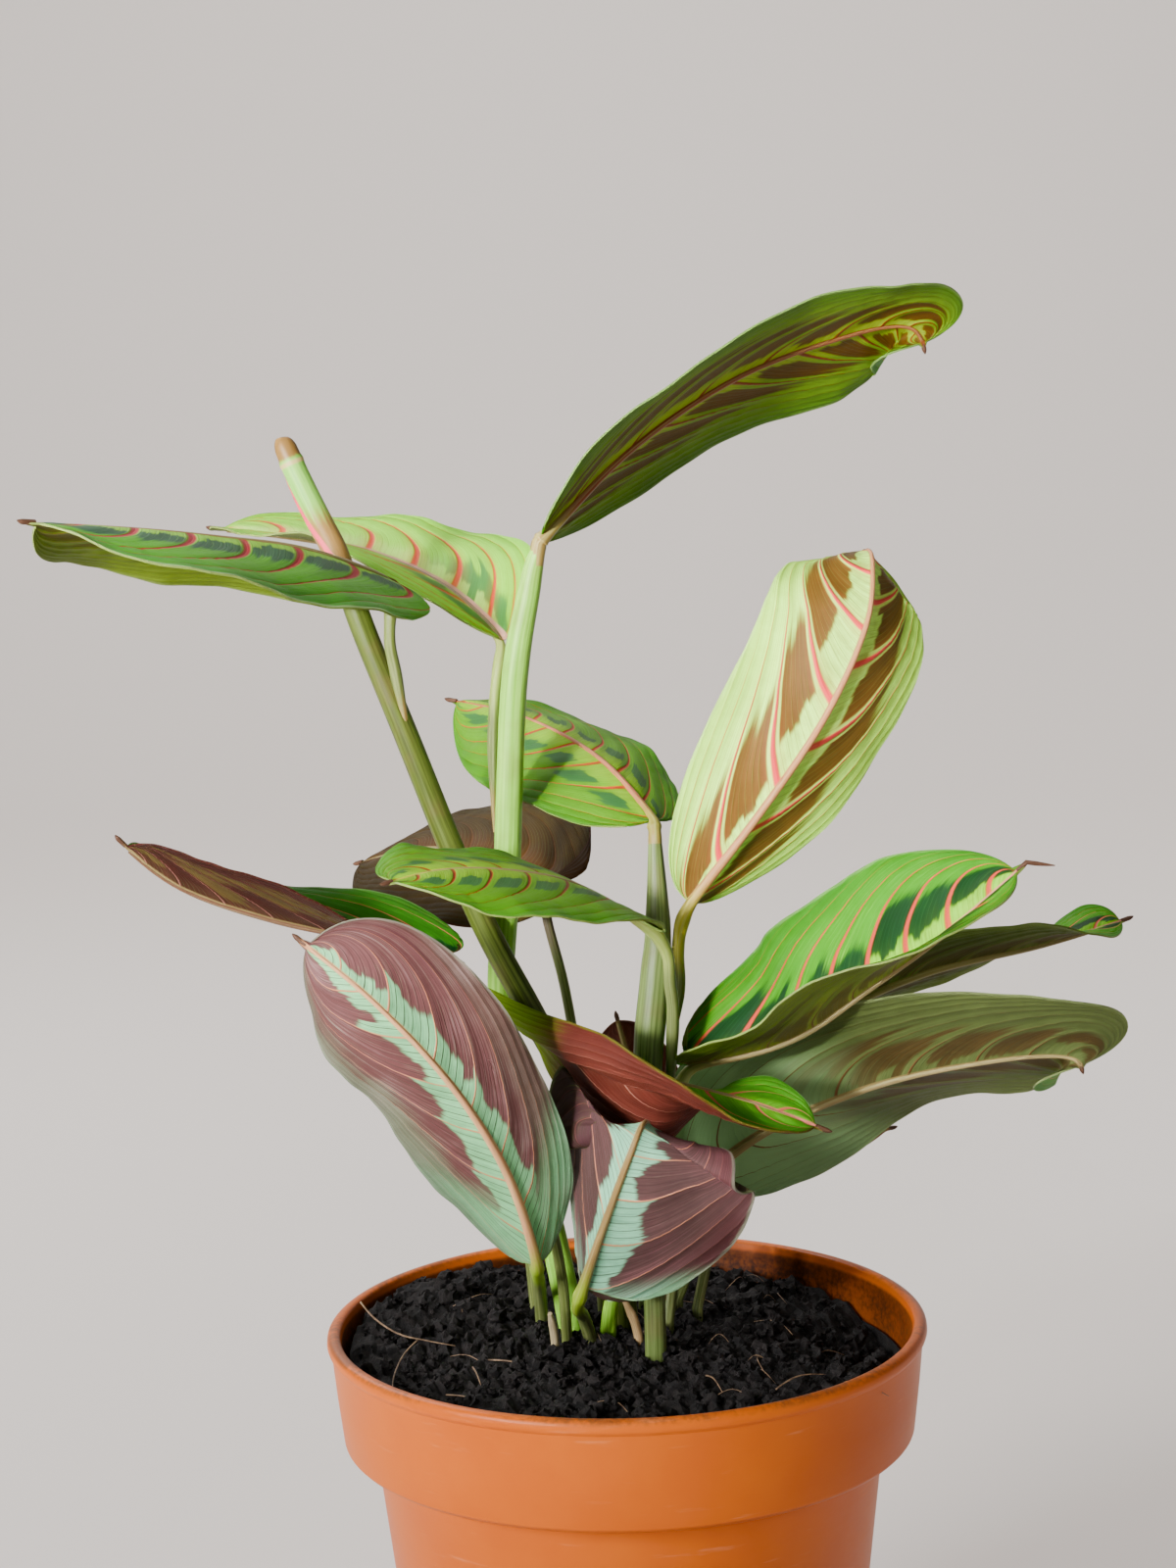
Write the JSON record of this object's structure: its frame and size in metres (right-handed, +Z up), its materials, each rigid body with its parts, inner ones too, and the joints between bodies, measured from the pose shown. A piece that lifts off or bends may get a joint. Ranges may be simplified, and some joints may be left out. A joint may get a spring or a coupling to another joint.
{
  "type": "potted prayer plant",
  "caption": "Leafy house plant with folded, red-veined leaves on slender stems, standing in the soil of a round plastic growers' pot.",
  "frame": {"origin": "centre of the flat disc under the pot, on the surface that the pot stands on", "axes": "+Z up through the pot; +X to the right and +Y away from the viewer in the reference view"},
  "size_m": [0.2251, 0.1504, 0.3354],
  "materials": {
    "pot_plastic": "satin moulded plastic with faint scuffs",
    "potting_mix": "loose, crumbly and matte",
    "stem": "smooth, finely ribbed plant stem",
    "dry_sheath": "dry and papery",
    "leaf": "satin leaf, green above and sage or plum below, with red veins"
  },
  "bodies": {
    "root": {"pot": "pot_plastic", "soil": "potting_mix", "stem_left": "stem", "stem_tall": "stem", "stem_right": "stem", "shoot_green": "stem", "sheath_dry": "dry_sheath", "sheath_papery": "dry_sheath", "leaf_rolled": "leaf", "leaf_top": "leaf", "leaf_left_trough": "leaf", "leaf_behind_left": "leaf", "leaf_mid_right": "leaf", "leaf_mid_left": "leaf", "leaf_upright": "leaf", "leaf_back_dark": "leaf", "leaf_far_left": "leaf", "leaf_front_left": "leaf", "leaf_front": "leaf", "leaf_small_front": "leaf", "leaf_right": "leaf", "leaf_right_narrow": "leaf", "leaf_right_low": "leaf", "leaf_orange": "leaf", "leaf_back_small": "leaf"}
  },
  "joints": []
}
